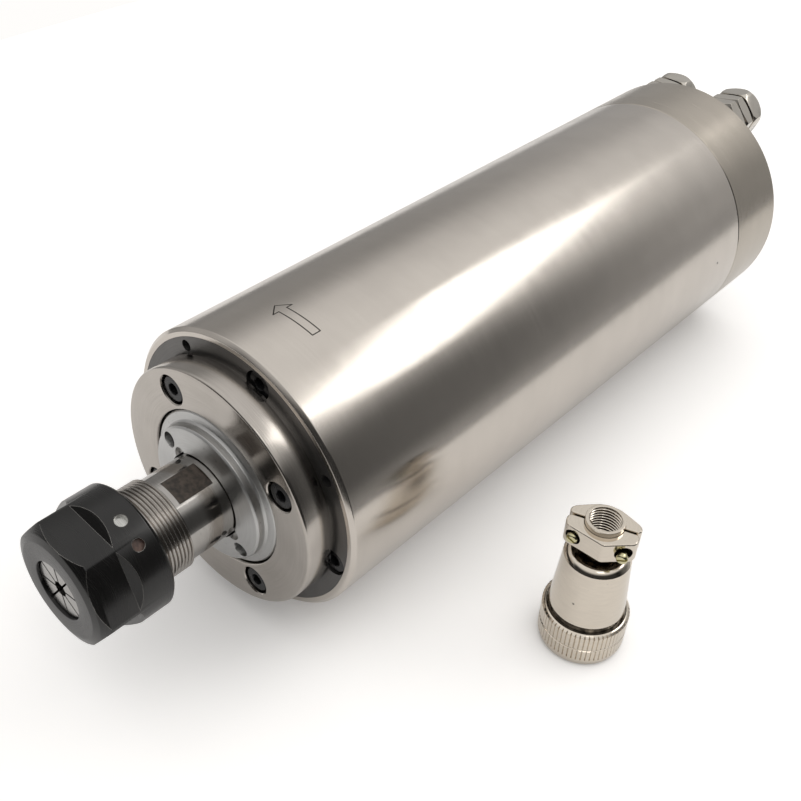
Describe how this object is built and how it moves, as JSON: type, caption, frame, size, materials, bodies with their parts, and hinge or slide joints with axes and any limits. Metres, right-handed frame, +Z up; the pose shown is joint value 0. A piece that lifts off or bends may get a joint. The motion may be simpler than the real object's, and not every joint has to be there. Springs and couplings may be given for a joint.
{
  "type": "motor spindle",
  "caption": "Water-cooled motor spindle: round steel body, front flange, collet nose with clamping nut, hose unions on the rear face and a loose cable plug.",
  "frame": {"origin": "on the spindle axis, in the plane of the sleeve's front rim", "axes": "+Y along the spindle axis from the nose to the rear face, -Y out of the nose, +Z up as it lies, +X towards the loose plug"},
  "size_m": [0.1297, 0.2874, 0.08],
  "materials": {
    "sleeve_steel": "satin ground",
    "dark_housing": "dark grey satin",
    "flange_steel": "polished, fine turned",
    "black_screws": "black oxide",
    "bearing_steel": "ground",
    "cage_resin": "brown resin cloth",
    "gland_alloy": "dull turned",
    "shaft_steel": "ground",
    "core_steel": "laminated sheet",
    "end_ring_alloy": "cast",
    "winding_copper": "enamelled copper",
    "seal_rubber": "black",
    "lock_nut_steel": "black oxide",
    "collet_steel": "ground",
    "nut_black": "black oxide",
    "nickel": "nickel plated",
    "washer_copper": "soft copper",
    "contact_brass": "bright",
    "insulator": "dark brown moulding",
    "zinc_screws": "yellow zinc plated"
  },
  "bodies": {
    "housing": {"sleeve": "sleeve_steel", "water_jacket": "end_ring_alloy", "jacket_seals": "seal_rubber", "front_housing": "dark_housing", "housing_screws": "black_screws", "front_flange": "flange_steel", "flange_screws": "black_screws", "front_outer_rings": "bearing_steel", "front_outer_spacer": "bearing_steel", "stator_core": "core_steel", "stator_winding": "winding_copper", "rear_housing": "end_ring_alloy", "rear_outer_ring": "bearing_steel", "preload_spring": "bearing_steel", "rear_cap": "sleeve_steel", "rear_cap_screws": "black_screws", "union_bodies": "nickel", "union_lock_nuts": "nickel", "union_seals": "washer_copper", "receptacle_shell": "nickel", "receptacle_nut": "nickel", "receptacle_insulator": "insulator", "receptacle_pins": "contact_brass", "plug_shell": "nickel", "plug_insulator": "insulator", "plug_sockets": "contact_brass", "plug_clamp_back": "nickel"},
    "rotor": {"shaft": "shaft_steel", "gland": "gland_alloy", "rotor_core": "core_steel", "rotor_end_rings": "end_ring_alloy", "front_inner_rings": "bearing_steel", "front_inner_spacer": "bearing_steel", "rear_inner_ring": "bearing_steel", "rear_lock_nut": "lock_nut_steel"},
    "front_rolling": {"front_balls": "bearing_steel", "front_cages": "cage_resin"},
    "rear_rolling": {"rear_balls": "bearing_steel", "rear_cage": "cage_resin"},
    "collet": {"collet": "collet_steel"},
    "collet_nut": {"collet_nut": "nut_black"},
    "ferrule_a": {"ferrule_a": "contact_brass"},
    "union_nut_a": {"union_nut_a": "nickel"},
    "ferrule_b": {"ferrule_b": "contact_brass"},
    "union_nut_b": {"union_nut_b": "nickel"},
    "plug_ring": {"plug_ring": "nickel"},
    "plug_clamp": {"plug_clamp_front": "nickel", "plug_screws": "zinc_screws"}
  },
  "joints": [
    {"name": "rotor_spin", "type": "hinge", "parent": "housing", "child": "rotor", "pos_m": [0, 0, 0], "axis": [0, 1, 0], "continuous": true},
    {"name": "front_rolling_spin", "type": "hinge", "parent": "housing", "child": "front_rolling", "pos_m": [0, 0.0168, 0], "axis": [0, 1, 0], "continuous": true},
    {"name": "rear_rolling_spin", "type": "hinge", "parent": "housing", "child": "rear_rolling", "pos_m": [0, 0.174, 0], "axis": [0, 1, 0], "continuous": true},
    {"name": "collet_slide", "type": "slide", "parent": "rotor", "child": "collet", "axis": [0, -1, 0], "range_m": [0, 0.0045]},
    {"name": "collet_nut_turn", "type": "hinge", "parent": "collet", "child": "collet_nut", "pos_m": [0, -0.0443, 0], "axis": [0, -1, 0], "range_deg": [0, 1080]},
    {"name": "ferrule_a_slide", "type": "slide", "parent": "housing", "child": "ferrule_a", "axis": [0, 1, 0], "range_m": [0, 0.003]},
    {"name": "union_nut_a_turn", "type": "hinge", "parent": "ferrule_a", "child": "union_nut_a", "pos_m": [-0.01507, 0.228, 0.02663], "axis": [0, 1, 0], "range_deg": [0, 1080]},
    {"name": "ferrule_b_slide", "type": "slide", "parent": "housing", "child": "ferrule_b", "axis": [0, 1, 0], "range_m": [0, 0.003]},
    {"name": "union_nut_b_turn", "type": "hinge", "parent": "ferrule_b", "child": "union_nut_b", "pos_m": [0.00996, 0.228, 0.02893], "axis": [0, 1, 0], "range_deg": [0, 1080]},
    {"name": "plug_ring_turn", "type": "hinge", "parent": "housing", "child": "plug_ring", "pos_m": [0.0782, 0.0485, -0.033], "axis": [0, 0, 1], "continuous": true},
    {"name": "plug_clamp_open", "type": "slide", "parent": "housing", "child": "plug_clamp", "axis": [0.3256, -0.9455, 0], "range_m": [0, 0.001]}
  ],
  "couplings": [
    {"joint": "front_rolling_spin", "follows": "rotor_spin", "ratio": 0.4118},
    {"joint": "rear_rolling_spin", "follows": "rotor_spin", "ratio": 0.3987},
    {"joint": "collet_slide", "follows": "collet_nut_turn", "m_per_rad": 0.00023873},
    {"joint": "ferrule_a_slide", "follows": "union_nut_a_turn", "m_per_rad": 0.00015915},
    {"joint": "ferrule_b_slide", "follows": "union_nut_b_turn", "m_per_rad": 0.00015915}
  ]
}
